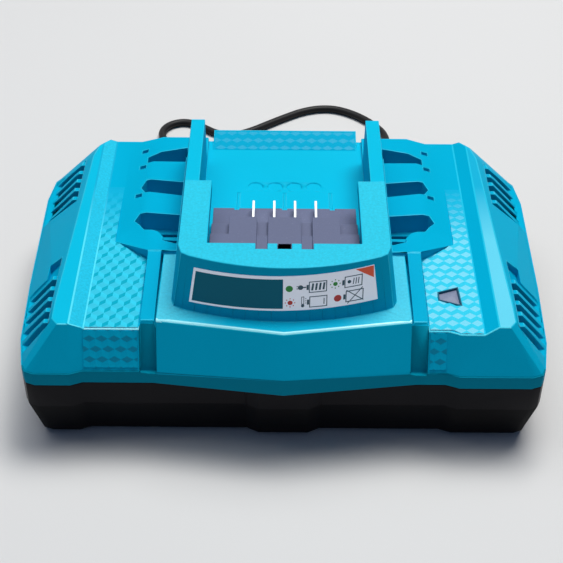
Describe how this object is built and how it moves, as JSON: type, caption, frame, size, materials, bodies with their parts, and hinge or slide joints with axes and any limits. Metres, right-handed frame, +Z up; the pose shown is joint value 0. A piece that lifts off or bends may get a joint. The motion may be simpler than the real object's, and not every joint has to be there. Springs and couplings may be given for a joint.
{
  "type": "power tool battery charger",
  "caption": "Bench charger for slide-on power tool battery packs: railed cradle with blade contacts and status label on a vented two-part housing, with a mains lead",
  "frame": {"origin": "on the surface that the charger stands on, under the middle of the housing without its lead", "axes": "+X to the charger's right as its front is faced, +Y from the front towards the back wall that the lead leaves, +Z up"},
  "size_m": [0.182, 0.216, 0.069],
  "materials": {
    "teal_plastic": "fine grain moulded",
    "black_plastic": "fine grain moulded",
    "dark_grey_plastic": "moulded",
    "foot_rubber": "moulded",
    "lead_sheath": "extruded",
    "bright_metal": "plated",
    "brass_plated": "polished",
    "zinc_steel": "zinc plated",
    "label_film": "printed film",
    "clear_lens": "clear",
    "board_laminate": "solder mask",
    "heatsink_aluminium": "extruded",
    "component_black": "moulded epoxy",
    "component_blue": "dipped",
    "component_yellow": "moulded",
    "component_sleeve": "sleeved",
    "ferrite": "sintered",
    "magnet_wire": "enamelled",
    "fuse_ceramic": "glazed"
  },
  "bodies": {
    "root": {"top_housing": "teal_plastic", "base_housing": "black_plastic", "rubber_feet": "foot_rubber", "housing_screws": "zinc_steel", "terminal_block": "dark_grey_plastic", "contact_positive": "bright_metal", "contact_sense": "bright_metal", "contact_signal": "bright_metal", "contact_negative": "bright_metal", "terminal_block_screws": "zinc_steel", "contact_leads": "component_black", "status_label": "label_film", "led_window": "clear_lens", "led_light_guide": "clear_lens", "status_leds": "clear_lens", "circuit_board": "board_laminate", "board_screws": "zinc_steel", "input_fuse": "fuse_ceramic", "varistor": "component_blue", "filter_capacitor": "component_yellow", "filter_choke_core": "ferrite", "filter_choke_windings": "magnet_wire", "bridge_rectifier": "component_black", "bulk_capacitor": "component_sleeve", "switching_transistor": "component_black", "primary_heatsink": "heatsink_aluminium", "transformer_core": "ferrite", "transformer_bobbin": "component_black", "transformer_windings": "component_yellow", "safety_capacitor": "component_blue", "optocoupler": "component_black", "controller_chip": "component_black", "output_diode": "component_black", "secondary_heatsink": "heatsink_aluminium", "heatsink_screws": "zinc_steel", "output_capacitors": "component_sleeve", "output_choke_core": "ferrite", "output_choke_winding": "magnet_wire", "current_shunt": "zinc_steel", "cord_clamp": "black_plastic", "cord_clamp_screws": "zinc_steel", "strain_relief": "lead_sheath", "mains_lead_tail": "lead_sheath", "mains_conductors": "component_black", "mains_cord": "lead_sheath", "cord_coil": "lead_sheath", "cord_tie": "black_plastic", "cord_tail": "lead_sheath", "plug_body": "lead_sheath", "plug_pins": "brass_plated"}
  },
  "joints": []
}
